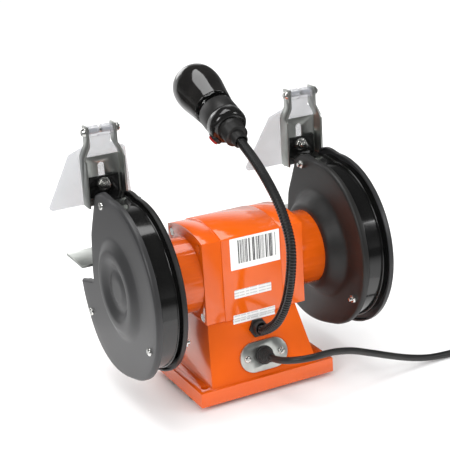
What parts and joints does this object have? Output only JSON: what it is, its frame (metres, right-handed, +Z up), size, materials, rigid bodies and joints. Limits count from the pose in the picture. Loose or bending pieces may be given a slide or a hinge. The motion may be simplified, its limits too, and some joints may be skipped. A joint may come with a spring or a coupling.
{
  "type": "bench grinder",
  "caption": "Bench grinder with a wheel in a round guard at each end, clear eye shields, tool rests, a lamp on a flexible neck and a mains cord.",
  "frame": {"origin": "on the bench, under the middle of the shaft, at the middle foot pad and the centre of the four bolt holes", "axes": "+X along the shaft to the operator's right, +Y from the operator towards the rear, +Z up"},
  "size_m": [0.4598, 0.301, 0.3118],
  "materials": {
    "orange_enamel": "gloss enamel",
    "dark_steel": "satin",
    "rubber": "matt",
    "bright_steel": "bright zinc",
    "core_steel": "laminated",
    "copper": "varnished wire",
    "capacitor_case": "satin",
    "black_plastic": "satin",
    "red_plastic": "gloss",
    "black_paint": "gloss enamel",
    "coarse_stone": "coarse abrasive",
    "fine_stone": "fine abrasive",
    "zinc_plate": "zinc plated",
    "clear_plastic": "clear",
    "neck_hose": "ribbed gloss",
    "black_glass": "gloss",
    "cord_rubber": "matt"
  },
  "bodies": {
    "frame": {"base_casting": "orange_enamel", "bottom_plate": "dark_steel", "rubber_feet": "rubber", "plate_screws": "bright_steel", "motor_housing": "orange_enamel", "right_end_bell": "orange_enamel", "left_end_bell": "orange_enamel", "through_bolts": "bright_steel", "stator_core": "core_steel", "windings": "copper", "bearings": "bright_steel", "capacitor": "capacitor_case", "switch_body": "black_plastic", "right_inner_guard": "black_paint", "left_inner_guard": "black_paint", "right_guard_band": "black_paint", "left_guard_band": "black_paint", "right_outer_guard": "black_paint", "left_outer_guard": "black_paint", "right_shield_tab": "black_paint", "left_shield_tab": "black_paint", "right_rest_arm": "black_paint", "left_rest_arm": "black_paint", "guard_screws": "bright_steel", "cover_bolts": "bright_steel", "clamp_bolts": "bright_steel", "rest_bolts": "black_plastic", "arm_screws": "bright_steel", "neck_collar": "black_plastic", "neck_part_1": "neck_hose", "gland_plate": "zinc_plate", "gland_screws": "bright_steel", "strain_relief": "rubber", "cord": "cord_rubber", "cord_coil": "cord_rubber", "plug": "black_plastic"},
    "spindle": {"rotor": "bright_steel", "shaft": "bright_steel", "right_wheel": "coarse_stone", "left_wheel": "fine_stone", "right_flanges": "bright_steel", "left_flanges": "bright_steel", "right_nut": "bright_steel", "left_nut": "bright_steel"},
    "right_bracket": {"right_shield_bracket": "zinc_plate", "right_hinge_bolt": "bright_steel"},
    "right_eye_shield": {"right_shield": "clear_plastic"},
    "right_rest": {"right_tool_rest": "zinc_plate"},
    "left_bracket": {"left_shield_bracket": "zinc_plate", "left_hinge_bolt": "bright_steel"},
    "left_eye_shield": {"left_shield": "clear_plastic"},
    "left_rest": {"left_tool_rest": "zinc_plate"},
    "neck_lower": {"neck_part_2": "neck_hose"},
    "neck_middle": {"neck_part_3": "neck_hose"},
    "neck_upper": {"neck_part_4": "neck_hose"},
    "lamp": {"neck_part_5": "neck_hose", "lamp_holder": "black_plastic", "bulb": "black_glass"},
    "lamp_switch": {"lamp_button": "red_plastic"},
    "rocker": {"switch_rocker": "red_plastic"}
  },
  "joints": [
    {"name": "shaft_spin", "type": "hinge", "parent": "frame", "child": "spindle", "pos_m": [0, 0, 0.124], "axis": [1, 0, 0], "continuous": true},
    {"name": "right_shield_height", "type": "slide", "parent": "frame", "child": "right_bracket", "axis": [0, 0, 1], "range_m": [-0.012, 0.009]},
    {"name": "right_shield_tilt", "type": "hinge", "parent": "right_bracket", "child": "right_eye_shield", "pos_m": [0.112, -0.058, 0.269], "axis": [1, 0, 0], "range_deg": [-80, 4]},
    {"name": "right_rest_reach", "type": "slide", "parent": "frame", "child": "right_rest", "axis": [0, 1, 0], "range_m": [-0.012, 0.007]},
    {"name": "left_shield_height", "type": "slide", "parent": "frame", "child": "left_bracket", "axis": [0, 0, 1], "range_m": [-0.012, 0.009]},
    {"name": "left_shield_tilt", "type": "hinge", "parent": "left_bracket", "child": "left_eye_shield", "pos_m": [-0.112, -0.058, 0.269], "axis": [1, 0, 0], "range_deg": [-80, 4]},
    {"name": "left_rest_reach", "type": "slide", "parent": "frame", "child": "left_rest", "axis": [0, 1, 0], "range_m": [-0.012, 0.007]},
    {"name": "neck_bend_1", "type": "hinge", "parent": "frame", "child": "neck_lower", "pos_m": [-0.005, 0.09, 0.111], "axis": [1, 0, 0], "range_deg": [-20, 20]},
    {"name": "neck_bend_2", "type": "hinge", "parent": "neck_lower", "child": "neck_middle", "pos_m": [-0.009, 0.096, 0.172], "axis": [0, 0.9798, 0.2], "range_deg": [-22, 22]},
    {"name": "neck_bend_3", "type": "hinge", "parent": "neck_middle", "child": "neck_upper", "pos_m": [-0.007, 0.066, 0.219], "axis": [-1, 0, 0], "range_deg": [-20, 20]},
    {"name": "neck_bend_4", "type": "hinge", "parent": "neck_upper", "child": "lamp", "pos_m": [-0.0065, 0.038, 0.238], "axis": [0, -0.3, -0.9539], "range_deg": [-22, 22]},
    {"name": "lamp_button_press", "type": "slide", "parent": "lamp", "child": "lamp_switch", "axis": [-0.7072, 0.256, 0.6591], "range_m": [0, 0.0025], "stiffness_N_per_m": 600, "springref_m": -0.001},
    {"name": "main_switch_rock", "type": "hinge", "parent": "frame", "child": "rocker", "pos_m": [0, -0.04419, 0.05], "axis": [1, 0, 0], "range_deg": [-16, 0]}
  ]
}
